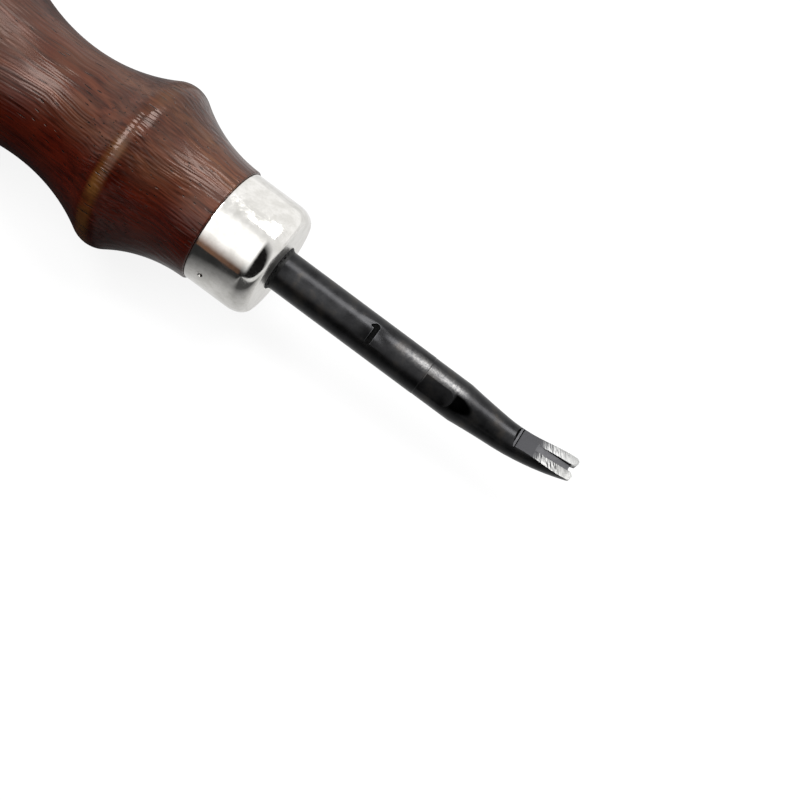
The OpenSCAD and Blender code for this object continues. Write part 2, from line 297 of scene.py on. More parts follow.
def make_walnut():
    # Walnut, turned, sanded and oiled: a satin dielectric, darker in its pores, paler where it is rubbed
    material, tree, shader, place = new_material("walnut_oiled")

    # The grain wanders a little, so every pattern reads a place that a slow noise has pushed about
    drift = add(tree, "TexNoise", {"Vector": place, "Scale": per(7)[0], "Detail": 1})
    centred = add(tree, "VectorMath", {
        0: drift.outputs["Color"], 1: (0.5, 0.5, 0.5)}, operation="SUBTRACT")
    pushed = add(tree, "VectorMath", {
        0: centred, 1: (0, 1.6 * MM, 1.6 * MM), 2: place}, operation="MULTIPLY_ADD")

    # Broad streaks, dark veins, fine fibres and furrows: layers that are long in X, thin across the growth
    # rings and wider along them, so a turned hollow cuts them in curved lines
    layers = []
    for sizes, detail in zip(layer_sizes, layer_details):
        stretched = add(tree, "Mapping", {
            "Vector": pushed, "Rotation": (ring_angle, 0, 0), "Scale": [size * MM for size in sizes]},
            vector_type="TEXTURE")
        layers.append(add(tree, "TexNoise", {
            "Vector": stretched, "Scale": 1, "Detail": detail, "Roughness": 0.65}))
    streaks, veins, fibres, furrows = layers
    wood = add(tree, "ValToRGB", {"Fac": streaks}, stops=[
        (0.3, "#38160c"), (0.42, "#4d2619"), (0.52, "#5b3120"), (0.62, "#69402a"), (0.72, "#795232")])
    vein = add(tree, "MapRange", {
        "Value": veins, "From Min": 0.5, "From Max": 0.68, "To Min": 0, "To Max": 0.55})
    veined = add(tree, "Mix", {"Factor": vein, "A": wood, "B": linear("#1e0603")}, data_type="RGBA")
    fibre = add(tree, "ValToRGB", {"Fac": fibres}, stops=[
        (0.34, "#786662"), (0.5, "#d0c8c4"), (0.66, "#ffffff")])
    lined = add(tree, "Mix", {
        "Factor": 0.9, "A": veined, "B": fibre}, data_type="RGBA", blend_type="MULTIPLY")

    # Patches of browner wood
    patches = add(tree, "TexNoise", {"Vector": place, "Scale": per(3.5)[0], "Detail": 3})
    brown = add(tree, "MapRange", {
        "Value": patches, "From Min": 0.4, "From Max": 0.7, "To Min": 0, "To Max": 0.45})
    patched = add(tree, "Mix", {"Factor": brown, "A": lined, "B": linear("#54382a")}, data_type="RGBA")

    # Painted shade: the lower side, towards the viewer, is made redder and darker
    inwards = add(tree, "VectorMath", {
        0: pushed, 1: (0, -math.cos(ring_angle), -math.sin(ring_angle))}, operation="DOT_PRODUCT")
    low_side_shade = add(tree, "MapRange", {
        "Value": inwards, "From Min": -1 * MM, "From Max": 4 * MM}, interpolation_type="SMOOTHSTEP")
    low_side_shaded = add(tree, "Mix", {
        "Factor": low_side_shade, "A": patched, "B": linear("#e88a70")}, data_type="RGBA", blend_type="MULTIPLY")
    # Painted shade: the far, upper side is made a little darker
    far_side_shade = add(tree, "MapRange", {"Value": inwards, "From Min": -4.5 * MM, "From Max": -8 * MM})
    shaded = add(tree, "Mix", {
        "Factor": far_side_shade, "A": low_side_shaded, "B": linear("#c0b8b4")}, data_type="RGBA", blend_type="MULTIPLY")

    # The crest of the ring is rubbed to a paler, patchy tan where the tool is gripped
    x = add(tree, "SeparateXYZ", {"Vector": place}).outputs["X"]
    from_crest = add(tree, "Math", {0: x, 1: crest_x * MM}, operation="SUBTRACT")
    off_crest = add(tree, "Math", {0: from_crest}, operation="ABSOLUTE")
    near_crest = add(tree, "MapRange", {
        "Value": off_crest, "From Min": 1.1 * MM, "From Max": 0.2 * MM}, interpolation_type="SMOOTHSTEP")
    patchy = add(tree, "MapRange", {
        "Value": patches, "From Min": 0.35, "From Max": 0.7, "To Min": 0.15, "To Max": 0.65})
    grip_side = add(tree, "MapRange", {
        "Value": inwards, "From Min": -4 * MM, "From Max": 1 * MM, "To Min": 0.15, "To Max": 1})
    gripped = add(tree, "Math", {0: near_crest, 1: grip_side}, operation="MULTIPLY")
    rubbed = add(tree, "Math", {0: gripped, 1: patchy}, operation="MULTIPLY")
    worn = add(tree, "Mix", {"Factor": rubbed, "A": shaded, "B": linear("#745026")}, data_type="RGBA")

    # Open pores are short black slits
    slits = add(tree, "Mapping", {"Vector": pushed, "Scale": per(4.5, 0.44, 0.44)})
    pores = add(tree, "TexVoronoi", {"Vector": slits, "Scale": 1, "Randomness": 1})
    pore = add(tree, "MapRange", {
        "Value": pores, "From Min": 0.09, "From Max": 0.2, "To Min": 1, "To Max": 0},
        interpolation_type="SMOOTHSTEP")
    colour = add(tree, "Mix", {"Factor": pore, "A": worn, "B": linear("#0e0503")}, data_type="RGBA")

    # Fine furrows along the grain and sunken pores break up the sheen, which is duller behind the waist
    sunk = add(tree, "Math", {0: pore, 1: -0.3, 2: furrows}, operation="MULTIPLY_ADD")
    bump = add(tree, "Bump", {"Height": sunk, "Strength": 1, "Distance": 0.07 * MM})
    gloss = add(tree, "MapRange", {
        "Value": veins, "From Min": 0.35, "From Max": 0.65, "To Min": 0.19, "To Max": 0.3})
    satin = add(tree, "MapRange", {
        "Value": x, "From Min": satin_from * MM, "From Max": satin_to * MM, "To Min": 0, "To Max": 0.15})
    dull = add(tree, "Math", {0: gloss, 1: satin}, operation="ADD")
    polished = add(tree, "Math", {0: near_crest, 1: -0.08, 2: dull}, operation="MULTIPLY_ADD")
    tree.links.new(colour.outputs["Result"], shader.inputs["Base Color"])
    tree.links.new(polished.outputs[0], shader.inputs["Roughness"])
    tree.links.new(bump.outputs["Normal"], shader.inputs["Normal"])
    shader.inputs["IOR"].default_value = 1.46
    shader.inputs["Specular Tint"].default_value = linear("#f6dfd6")
    return material


walnut = make_walnut()
print("material:", walnut.name)

# %% [markdown]
# ## Handle
# The handle was turned between centres: a hollow behind the ferrule, a rounded finger ring, a slim waist
# and a long bulb for the palm. Its outline is a row of arcs that meet smoothly, so each arc's centre
# follows from its neighbours'. At the front the wood steps down to a tenon for the ferrule and is bored
# for the tang, and the corner that meets the ferrule is rounded over a little, which leaves the dark line
# between wood and metal.

# %% Draw the handle's outline
neck_r = 7.35
crest_r = 10.8
crest_round = 2.8
waist_at = 23.1
waist_r = 7.6
swell_r = 23
bulb_at = 55
butt_len = ferrule_back - bulb_at - butt_x
ferrule_wall = 0.55
ferrule_round = 1.3
shoulder_run = 2.2
seam_round = 0.18
tenon_r = ferrule_r - ferrule_wall


def cove_radius(run, drop, rounding):
    """Radius of a hollow arc that leaves a low point level and meets a round crest."""
    return (run ** 2 + drop ** 2 - rounding ** 2) / (2 * (rounding - drop))


def heading(here, there):
    """The direction from one point to another, in degrees."""
    return math.degrees(math.atan2(there[1] - here[1], there[0] - here[0]))


crest_c = (crest_at, crest_r - crest_round)
front_r = cove_radius(crest_at, neck_r - crest_c[1], crest_round)
front_c = (0, neck_r + front_r)
rear_r = cove_radius(waist_at - crest_at, waist_r - crest_c[1], crest_round)
rear_c = (waist_at, waist_r + rear_r)
swell_c = (waist_at, waist_r + swell_r)
bulb_run = bulb_at - waist_at
bulb_rise = bulb_r - waist_r
bulb_arc_r = (bulb_run ** 2 + bulb_rise ** 2) / (2 * bulb_rise) - swell_r
bulb_c = (bulb_at, bulb_r - bulb_arc_r)


def shoulder(wall):
    """The ferrule's front shoulder, a quarter ellipse, a wall's thickness inside its outer surface."""
    return [(shoulder_run - ferrule_len + (shoulder_run - wall) * c,
             ferrule_r - ferrule_round + (ferrule_round - wall) * s) for c, s in arc((0, 0), 1, 90, 180)]


to_front = heading(front_c, crest_c)
to_rear = heading(rear_c, crest_c)
to_bulb = heading(swell_c, bulb_c)
butt = [(bulb_at + butt_len * math.cos(math.radians(a)), bulb_r * math.sin(math.radians(a)))
        for a in range(0, 90, 3)]
grip = (arc(bulb_c, bulb_arc_r, 90, to_bulb + 180) + arc(swell_c, swell_r, to_bulb, -90)
        + arc(rear_c, rear_r, -90, to_rear) + arc(crest_c, crest_round, to_rear + 180, to_front + 180)
        + arc(front_c, front_r, to_front, -90)[:-1])
seam = arc((seam_round, neck_r - seam_round), seam_round, 90, 180, 6)
tenon = [(0, tenon_r), *shoulder(ferrule_wall), (ferrule_wall - ferrule_len, bond_r),
         (ferrule_back - bond_back, bond_r), (ferrule_back - bond_back, 0)]
handle_outline = [(ferrule_back - d, r) for d, r in butt + grip + seam + tenon]
print("handle outline:", len(handle_outline), "points")

# %% Turn the handle
handle = turn("turned_handle", handle_outline, 192)
dress(handle, "handle", "handle_wood", 40, walnut)

# %% [markdown]
# ## Polished nickel plate
# The ferrule is drawn brass or steel with bright nickel on it. Nickel is a slightly warm grey metal, and
# polish leaves it almost a mirror, so what the eye sees is mostly the room. Three things keep it from
# looking like a computer's chrome: the metal isn't quite true, which bends reflections, rubbing has left
# faint scuffs, and the front face, which a buffing wheel hardly reaches, is duller than the barrel.

# %% Make the nickel
def make_nickel():
    # Nickel plate, buffed: a warm grey mirror with slow waves, fine rubbed scuffs and a duller front face
    material, tree, shader, place = new_material("nickel_plate_polished")
    waves = add(tree, "TexNoise", {"Vector": place, "Scale": per(2)[0], "Detail": 2})
    slanted = add(tree, "Mapping", {
        "Vector": place, "Rotation": (0.5, 0.3, 0.6), "Scale": per(2.2, 0.14, 0.3)})
    scuffs = add(tree, "TexNoise", {"Vector": slanted, "Scale": 1, "Detail": 3, "Roughness": 0.6})
    smears = add(tree, "TexNoise", {"Vector": place, "Scale": per(1.3)[0], "Detail": 3, "Roughness": 0.6})
    marks = add(tree, "Math", {0: scuffs, 1: smears}, operation="MULTIPLY")
    scuffed = add(tree, "MapRange", {
        "Value": marks, "From Min": 0.15, "From Max": 0.42, "To Min": 0.05, "To Max": 0.17})
    normal = add(tree, "NewGeometry").outputs["Normal"]
    facing = add(tree, "SeparateXYZ", {"Vector": normal}).outputs["X"]
    unbuffed = add(tree, "MapRange", {
        "Value": facing, "From Min": 0.75, "From Max": 0.95, "To Min": 0, "To Max": 0.25})
    dull = add(tree, "Math", {0: scuffed, 1: unbuffed}, operation="ADD")
    tint = add(tree, "ValToRGB", {"Fac": smears}, stops=[(0.35, "#dad8d3"), (0.6, "#eae8e4")])
    bump = add(tree, "Bump", {"Height": waves, "Strength": 0.14, "Distance": 0.06 * MM})
    tree.links.new(tint.outputs["Color"], shader.inputs["Base Color"])
    tree.links.new(dull.outputs[0], shader.inputs["Roughness"])
    tree.links.new(bump.outputs["Normal"], shader.inputs["Normal"])
    shader.inputs["Metallic"].default_value = 1
    return material


nickel = make_nickel()
print("material:", nickel.name)

# %% [markdown]
# ## Ferrule
# The ferrule keeps the wood from splitting where the tang is driven in. It is a cup with a rounded front
# shoulder and a hole for the shank, held on by two punch marks. It is turned from its own outline, inside
# and out, with a quarter ellipse for the shoulder, which a plain arc would make too tight. Each mark is a
# small ball taken away with a Boolean, and the barrel has rows of faces, so that a mark disturbs only
# those around it.

# %% Turn and stake the ferrule
stake_r = 0.45
stake_depth = 0.22
stake_at = 2
rim_round = 0.12
barrel_rows = 24

rear_rim = arc((-rim_round, ferrule_r - rim_round), rim_round, 0, 90, 6)
barrel_end = shoulder_run - ferrule_len
row_step = (barrel_end + rim_round) / barrel_rows
barrel = [(row_step * row - rim_round, ferrule_r) for row in range(1, barrel_rows)]
inside = [(-ferrule_len, bond_r), (ferrule_wall - ferrule_len, bond_r), *reversed(shoulder(ferrule_wall)),
          (0, tenon_r), rear_rim[0]]
ferrule_outline = [(ferrule_back - d, r) for d, r in rear_rim + barrel + shoulder(0) + inside]
ferrule = turn("nickel_ferrule", ferrule_outline, 192)
for side_y in (-1, 1):
    bpy.ops.mesh.primitive_uv_sphere_add(segments=24, ring_count=16, radius=stake_r, location=(
        ferrule_back + stake_at, side_y * (ferrule_r + stake_r - stake_depth), 0))
    cut(ferrule, bpy.context.object)
dress(ferrule, "ferrule", "ferrule_nickel", 40, nickel)

# %% [markdown]
# ## Blackened and ground steel
# The cutter is one piece of tool steel. Hot black oxide leaves it almost black with a satin sheen, and
# being a thin skin on metal it reflects like metal, only far less, so its base colour is very dark and
# its edges still catch the light. Around a scribed ring it is rubbed to a grainy, brighter streak, which
# also holds a highlight painted along the line where the lamp shows, and just ahead of the flat it has a
# blacker patch. Milled faces are a duller, even grey. The stamped numeral holds dull black scale, and its
# deep faces and the corner of the step are painted almost black as the shade of their recesses. The tops
# of the prongs are ground bare after blackening and stay bright, with the wheel's scratches across them.
# Each finish is a material of its own, and the streak and the patch are masks within the first.

# %% Make the blackened steel
# Where the rubbed streak, with its painted highlight, lies along the bar and at what angle about its axis
rub_and_highlight_along = (shank_len - 5, shank_len - 1, shank_len + 3.8, shank_len + 6)
rub_and_highlight_angle = math.radians(9.2)
patch_along = (shank_len + 3.9, shank_len + 4.3, shank_len + 6.6, shank_len + 7.1)
patch_angle = math.radians(44.6)


def bar_mask(tree, place, along, angle, low, high):
    """A mask that fades in and out at places along the bar, near a line at an angle about its axis."""
    fade_in, full, fade_out, end = [at * MM for at in along]
    x = add(tree, "SeparateXYZ", {"Vector": place}).outputs["X"]
    behind = add(tree, "MapRange", {"Value": x, "From Min": fade_in, "From Max": full})
    ahead = add(tree, "MapRange", {"Value": x, "From Min": end, "From Max": fade_out})
    outwards = Vector((0, -math.sin(angle), math.cos(angle))) / (shank_r * MM)
    reach = add(tree, "VectorMath", {0: place, 1: outwards}, operation="DOT_PRODUCT")
    beside = add(tree, "MapRange", {"Value": reach, "From Min": low, "From Max": high})
    between = add(tree, "Math", {0: behind, 1: ahead}, operation="MULTIPLY")
    return add(tree, "Math", {0: between, 1: beside}, operation="MULTIPLY")


def make_black_oxide():
    # Black oxide on tool steel: a thin dark satin skin, rubbed brighter around the scribed ring, where a
    # highlight is painted too
    material, tree, shader, place = new_material("black_oxide_steel")
    clouds = add(tree, "TexNoise", {"Vector": place, "Scale": per(2.5)[0], "Detail": 4, "Roughness": 0.6})
    grit = add(tree, "TexNoise", {"Vector": place, "Scale": per(0.3)[0], "Detail": 3, "Roughness": 0.7})
    skin = add(tree, "ValToRGB", {"Fac": clouds}, stops=[
        (0.35, "#262627"), (0.55, "#323233"), (0.7, "#403d3a")])
    worn = add(tree, "ValToRGB", {"Fac": grit}, stops=[(0.38, "#454546"), (0.65, "#666564")])
    # Rubbed, grainy steel around the ring, with a highlight painted along the lamp's streak
    rub_and_highlight = bar_mask(tree, place, rub_and_highlight_along, rub_and_highlight_angle, 0.927, 0.987)
    rubbed = add(tree, "Mix", {"Factor": rub_and_highlight, "A": skin, "B": worn}, data_type="RGBA")
    patch = bar_mask(tree, place, patch_along, patch_angle, 0.893, 0.933)
    colour = add(tree, "Mix", {"Factor": patch, "A": rubbed, "B": linear("#040404")}, data_type="RGBA")
    sheen = add(tree, "MapRange", {
        "Value": clouds, "From Min": 0.3, "From Max": 0.7, "To Min": 0.26, "To Max": 0.38})
    bump = add(tree, "Bump", {"Height": grit, "Strength": 0.2, "Distance": 0.02 * MM})
    tree.links.new(colour.outputs["Result"], shader.inputs["Base Color"])
    tree.links.new(sheen.outputs[0], shader.inputs["Roughness"])
    tree.links.new(bump.outputs["Normal"], shader.inputs["Normal"])
    shader.inputs["Metallic"].default_value = 1
    return material


black_oxide = make_black_oxide()
print("material:", black_oxide.name)

# %% Make the milled steel, and the stamp's scale with painted shade
def make_milled_steel():
    # Milled faces under the same oxide: flatter and duller, so they show an even grey
    material, tree, shader, place = new_material("milled_oxide_steel")
    mottle = add(tree, "TexNoise", {"Vector": place, "Scale": per(0.8)[0], "Detail": 3})
    colour = add(tree, "ValToRGB", {"Fac": mottle}, stops=[(0.3, "#4a4a4c"), (0.7, "#5a5a5c")])
    tree.links.new(colour.outputs["Color"], shader.inputs["Base Color"])
    shader.inputs["Metallic"].default_value = 1
    shader.inputs["Roughness"].default_value = 0.5
    return material


def make_scale_and_painted_shade():
    # Scale in the stamped numeral, and painted shade there and in the corner of the step: dull and almost
    # black
    material, tree, shader, place = new_material("stamp_scale")
    crumbs = add(tree, "TexNoise", {"Vector": place, "Scale": per(0.2)[0], "Detail": 2})
    colour = add(tree, "ValToRGB", {"Fac": crumbs}, stops=[(0.35, "#030303"), (0.7, "#0e0e0e")])
    tree.links.new(colour.outputs["Color"], shader.inputs["Base Color"])
    shader.inputs["Roughness"].default_value = 0.6
    shader.inputs["Specular IOR Level"].default_value = 0.03
    return material


milled_steel = make_milled_steel()
stamp_scale = make_scale_and_painted_shade()
print("materials:", milled_steel.name, stamp_scale.name)

# %% Make the ground steel
bare_from = tip_x - 3.9
bare_to = tip_x - 2.3
polish_from = tip_x - 2.6
polish_to = tip_x - 0.9
wheel_angle = 0.55


def make_ground_steel():
    # The bed is milled and blackened, and its prongs are then ground bare: bright, scratched across. The
    # scratches are drawn coarser than a wheel's, so that they show
    material, tree, shader, place = new_material("ground_tool_steel")
    spot = add(tree, "SeparateXYZ", {"Vector": place})
    stretched = add(tree, "Mapping", {
        "Vector": place, "Rotation": (0, 0, wheel_angle), "Scale": (0.115 * MM, 1.1 * MM, 1.1 * MM)},
        vector_type="TEXTURE")
    scratches = add(tree, "TexNoise", {"Vector": stretched, "Scale": 1, "Detail": 1, "Roughness": 0.5})
    ragged = add(tree, "Math", {
        0: scratches, 1: 1.6 * MM, 2: spot.outputs["X"]}, operation="MULTIPLY_ADD")
    bare = add(tree, "MapRange", {"Value": ragged, "From Min": bare_from * MM, "From Max": bare_to * MM})
    polish = add(tree, "MapRange", {
        "Value": spot.outputs["X"], "From Min": polish_from * MM, "From Max": polish_to * MM,
        "To Min": 0, "To Max": 0.85})
    scratched = add(tree, "ValToRGB", {"Fac": scratches}, stops=[
        (0.4, "#2c2c2e"), (0.48, "#8c8c8c"), (0.55, "#c8c8c6")])
    bright = add(tree, "Mix", {
        "Factor": polish, "A": scratched, "B": linear("#9c9c9a")}, data_type="RGBA")

    # The top of the far prong is a little darker
    far = add(tree, "MapRange", {"Value": spot.outputs["Y"], "From Min": -0.3 * MM, "From Max": 0.3 * MM})
    normal = add(tree, "NewGeometry").outputs["Normal"]
    upwards = add(tree, "SeparateXYZ", {"Vector": normal}).outputs["Z"]
    far_top = add(tree, "Math", {0: far, 1: upwards}, operation="MULTIPLY", use_clamp=True)
    darkened = add(tree, "Mix", {"Factor": 0.6, "A": bright, "B": linear("#6e6e6e")}, data_type="RGBA")
    silver = add(tree, "Mix", {"Factor": far_top, "A": bright, "B": darkened}, data_type="RGBA")
    colour = add(tree, "Mix", {"Factor": bare, "A": linear("#404042"), "B": silver}, data_type="RGBA")
    bump = add(tree, "Bump", {"Height": scratches, "Strength": 0.3, "Distance": 0.02 * MM})
    tree.links.new(colour.outputs["Result"], shader.inputs["Base Color"])
    tree.links.new(bump.outputs["Normal"], shader.inputs["Normal"])
    shader.inputs["Metallic"].default_value = 1
    shader.inputs["Roughness"].default_value = 0.42
    return material


ground_steel = make_ground_steel()
print("material:", ground_steel.name)

# %% [markdown]
# ## Cutter bar
# The cutter starts as a round bar. A filled circle is extruded from station to station: along the neck,
# out to the shank, past the scribed ring, and then up the bent and tapering head, where each ring is also
# scaled and tilted to stay square to the centre line. The square tang behind the neck is a cube, tapered
# by scaling its rear face, and joined on.

# %% Work out the head's sizes
neck_pin_r = shank_r - 0.25
neck_len = 3
grind_step = 0.03
ring_w = 0.08
ring_depth = 0.045
ground_r = shank_r - grind_step
taper_x = shank_len + 5.1
head_len = tip_x - taper_x
tip_r = 1.68
taper_power = 2.1
bend_x = taper_x + 5.2
tip_rise = 3.33
bend_run = tip_x - bend_x
bend_r = (bend_run ** 2 + tip_rise ** 2) / (2 * tip_rise)
past = 1
room = 2 * shank_r


def bar_r(x):
    """The bar's radius at a place along the head."""
    along = min(1, max(0, (x - taper_x) / head_len))
    return tip_r + (ground_r - tip_r) * (1 - along) ** taper_power


def bar_tilt(x):
    """How far the bent centre line is tilted there."""
    return math.asin(max(0, x - bend_x) / bend_r)


def bar_rise(x):
    """How far the bent centre line has risen there."""
    return bend_r * (1 - math.cos(bar_tilt(x)))


print(f"head: {head_len:.1f} mm long, bend radius {bend_r:.1f} mm")

# %% Extrude the bar
bar_sides = 96
head_rings = 48
plain = [(0, neck_pin_r), (0, shank_r), (shank_len - ring_w, shank_r), (shank_len, shank_r - ring_depth),
         (shank_len + ring_w, ground_r)]
bent = [taper_x + (head_len + past) * i / head_rings for i in range(head_rings + 1)]
stations = [(x, 0, r, 0) for x, r in plain] + [(x, bar_rise(x), bar_r(x), bar_tilt(x)) for x in bent]

bpy.ops.object.select_all(action="DESELECT")
bpy.ops.mesh.primitive_circle_add(vertices=bar_sides, radius=neck_pin_r, fill_type="NGON")
cutter_bar = bpy.context.object
cutter_bar.name = cutter_bar.data.name = "steel_cutter"
edit(cutter_bar)
bpy.ops.transform.rotate(value=math.pi / 2, orient_axis="Y", center_override=(0, 0, 0))
bpy.ops.transform.translate(value=(-neck_len, 0, 0))
before = (-neck_len, 0, neck_pin_r, 0)
for station in stations:
    x, z, r, tilt = station
    step = (x - before[0], 0, z - before[1])
    bpy.ops.mesh.extrude_region_move(TRANSFORM_OT_translate={"value": step})
    bpy.ops.transform.resize(value=[r / before[2]] * 3, center_override=(x, 0, z))
    bpy.ops.transform.rotate(value=tilt - before[3], orient_axis="Y", center_override=(x, 0, z))
    before = station
close_up(cutter_bar)

# %% Add the tang
tang_root = 3.1
tang_end = 2


def make_tang():
    """A square bar behind the neck, which tapers towards its rear end."""
    bpy.ops.object.select_all(action="DESELECT")
    bpy.ops.mesh.primitive_cube_add(size=1)
    tang = bpy.context.object
    edit(tang)
    length = -neck_len - tang_back
    bpy.ops.transform.resize(value=(length, tang_root, tang_root))
    bpy.ops.transform.translate(value=(-neck_len - length / 2, 0, 0))
    mesh = bmesh.from_edit_mesh(tang.data)
    for face in mesh.faces:
        face.select_set(face.normal.x < -0.9)
    bmesh.update_edit_mesh(tang.data)
    share = tang_end / tang_root
    bpy.ops.transform.resize(value=(1, share, share), center_override=(tang_back, 0, 0))
    bpy.ops.object.mode_set(mode="OBJECT")
    return tang


cut(cutter_bar, make_tang(), "UNION")
print("cutter bar with its tang:", len(cutter_bar.data.polygons), "faces")

# %% [markdown]
# ## Milling the head
# The bar becomes a cutter by milling: a step whose short ledge has the round wall that a milling cutter
# leaves, with a groove in its corner and a scribed line ahead of it, a bed that slopes up to the tips, a
# chip channel along the bed, a notch that leaves two prongs, and a hollow underneath that meets the
# channel's floor in the cutting edge. The prong tips are then rounded. Each cut is a prism, turned into
# place and subtracted, because that is how a mill works, and the faces it leaves are flat and sharp.

# %% Mill the step and the bed
step_x = taper_x + 7.05
ledge_len = 0.75
ledge_z = 1.36
bed_x = step_x + ledge_len
bed_z = ledge_z + 0.08
bed_tip_z = 2.68
bed_slope = math.atan((bed_tip_z - bed_z) / (tip_x - bed_x))
mill_r = 2.2
corner_w = 0.38
scribe_w = 0.12
line_depth = 0.14


def mill_wall(reach):
    """The round wall that the cutter left, as far as a line ahead of its deepest place."""
    turn_by = math.degrees(math.acos(1 - reach / mill_r))
    return arc((step_x + mill_r, 0), mill_r, 180 - turn_by, 180 + turn_by)


cut(cutter_bar, prism("ledge", mill_wall(ledge_len), ledge_z, room))
cut(cutter_bar, prism("corner", mill_wall(corner_w), ledge_z - line_depth, room))
bed = prism("bed", [(0, -room), (head_len, -room), (head_len, room), (0, room)], 0, room)
bed.location = (bed_x, 0, bed_z)
bed.rotation_euler = (0, -bed_slope, 0)
cut(cutter_bar, bed)
scribe = [(bed_x - scribe_w, -room), (bed_x, -room), (bed_x, room), (bed_x - scribe_w, room)]
cut(cutter_bar, prism("scribe", scribe, ledge_z - line_depth, room))
print(f"bed slopes {math.degrees(bed_slope):.1f} degrees")

# %% Mill the channel and the notch
channel_w = 0.9
channel_depth = 0.3
channel_len = 4.2
edge_x = tip_x - 0.7
edge_bow = 0.12
edge_land = 0.06
run_out_x = edge_x - channel_len
run_out_z = bed_z + (run_out_x - bed_x) * math.tan(bed_slope)
floor_slope = math.atan(math.tan(bed_slope) - channel_depth / channel_len)
edge_z = run_out_z + channel_len * math.tan(floor_slope) - edge_land

half_w = channel_w / 2
channel = prism("channel", [(0, -half_w), (head_len, -half_w), (head_len, half_w), (0, half_w)], 0, room)
channel.location = (run_out_x, 0, run_out_z)
channel.rotation_euler = (0, -floor_slope, 0)
cut(cutter_bar, channel)
bow_r = (half_w ** 2 + edge_bow ** 2) / (2 * edge_bow)
bow_half = math.degrees(math.asin(half_w / bow_r))
notch = prism("notch", arc((edge_x + bow_r, 0), bow_r, 180 - bow_half, 180 + bow_half, 16)
              + [(tip_x + room, -half_w), (tip_x + room, half_w)], -room, 2 * room)
cut(cutter_bar, notch)
print(f"channel {channel_w} mm wide, cutting edge at {edge_x:.1f} mm")

# %% Mill the underside and round the tips
groove_half = 0.95
groove_len = 5.4
prong_round = 0.62
groove_end = edge_x - groove_len
groove_slope = math.atan((edge_z - bar_rise(groove_end) + bar_r(groove_end)) / groove_len)
hollow = arc((-groove_half, 0), groove_half, -90, 90, 32) + [(-room, groove_half), (-room, -groove_half)]
groove = prism("groove", hollow, -head_len, head_len)
groove.location = (edge_x, 0, edge_z)
groove.rotation_euler = (0, -math.pi / 2 - groove_slope, 0)
cut(cutter_bar, groove)

prong_y = half_w + prong_round
round_x = tip_x - prong_round
tip_outline = [(round_x, -room)]
for y in (-prong_y, prong_y):
    tip_outline += arc((round_x, y), prong_round, -90, 90, 16)
tip_outline += [(round_x, room), (tip_x + room, room), (tip_x + room, -room)]
cut(cutter_bar, prism("tips", tip_outline, -room, 2 * room))
print("milled cutter:", len(cutter_bar.data.polygons), "faces")

# %% [markdown]
# ## Flat and size numeral
# Just ahead of the scribed ring a small flat is ground for a spanner, and the shank carries a stamped
# figure one, which says the size. A stamp leaves soft corners, so the numeral's outline has arcs at its
# foot, its top and its hook. Cutting it leaves long faces around it, which would spoil the smooth shading
# along the whole shank, so the bar is first scored with a ring of edges on either side of it.

# %% Grind the flat
flat_depth = 0.25
flat_z = ground_r - flat_depth
flat_len = 4.1
flat_start = shank_len + 0.1
flat_half = math.sqrt(ground_r ** 2 - flat_z ** 2) + grind_step
flat_angle = math.radians(52)
flat_outline = [*arc((flat_len - flat_half, 0), flat_half, -90, 90, 24), (0, flat_half), (0, -flat_half)]
flat = prism("flat", flat_outline, flat_z, room)
flat.location = (flat_start, 0, 0)
flat.rotation_euler = (flat_angle, 0, 0)
cut(cutter_bar, flat)
print(f"flat: {flat_len} x {2 * flat_half:.2f} mm")

# %% Stamp the numeral
numeral_at = 12.5
numeral_angle = math.radians(26)
numeral_h = 2.5
numeral_depth = 0.45
stroke = 0.64
foot_r = 0.2
top_r = 0.45
top_turn = 130
hook_r = 0.17
hook_back = 0.6
hook_drop = 0.5
hook_root = 0.72


def score(piece, *places):
    """Cuts a ring of edges round a piece at each place along X, without parting it."""
    edit(piece)
    for x in places:
        bpy.ops.mesh.select_all(action="SELECT")
        bpy.ops.mesh.bisect(plane_co=(x, 0, 0), plane_no=(1, 0, 0))
    bpy.ops.object.mode_set(mode="OBJECT")


half_stroke = stroke / 2
half_h = numeral_h / 2
figure_one = [*arc((foot_r - half_stroke, foot_r - half_h), foot_r, 180, 270, 6),
              *arc((half_stroke - foot_r, foot_r - half_h), foot_r, 270, 360, 6),
              *arc((half_stroke - top_r, half_h - top_r), top_r, 0, top_turn, 10),
              *arc((-hook_back, half_h - hook_drop), hook_r, top_turn, top_turn + 180, 8),
              (-half_stroke, half_h - hook_root)]
score(cutter_bar, numeral_at - numeral_h, numeral_at + numeral_h)
numeral = prism("numeral", figure_one, shank_r - numeral_depth, room)
numeral.location = (numeral_at, 0, 0)
numeral.rotation_euler = (numeral_angle, 0, 0)
cut(cutter_bar, numeral)
print("numeral stamped:", len(cutter_bar.data.polygons), "faces in the bar")

# %% [markdown]
# ## Soft rims and finishes
# No real edge is perfectly sharp, and the thin bright line along it is what makes steel look like steel,
# so the rims of the channel and of the numeral get a small bevel. Bevelling everything would also round
# the cutting edge and the milled step, which are crisp on the tool, so a test of each edge's place picks
# the rims alone. Last, each face gets the finish that was left on it, or the painted shade of a recess,
# which its place and its normal tell.

# %% Soften the edges that catch the light
rim_start = run_out_x + 1.2
channel_soft = 0.07
numeral_soft = 0.06
sharp = 0.5
flat_gap = 0.01
round_gap = 0.02


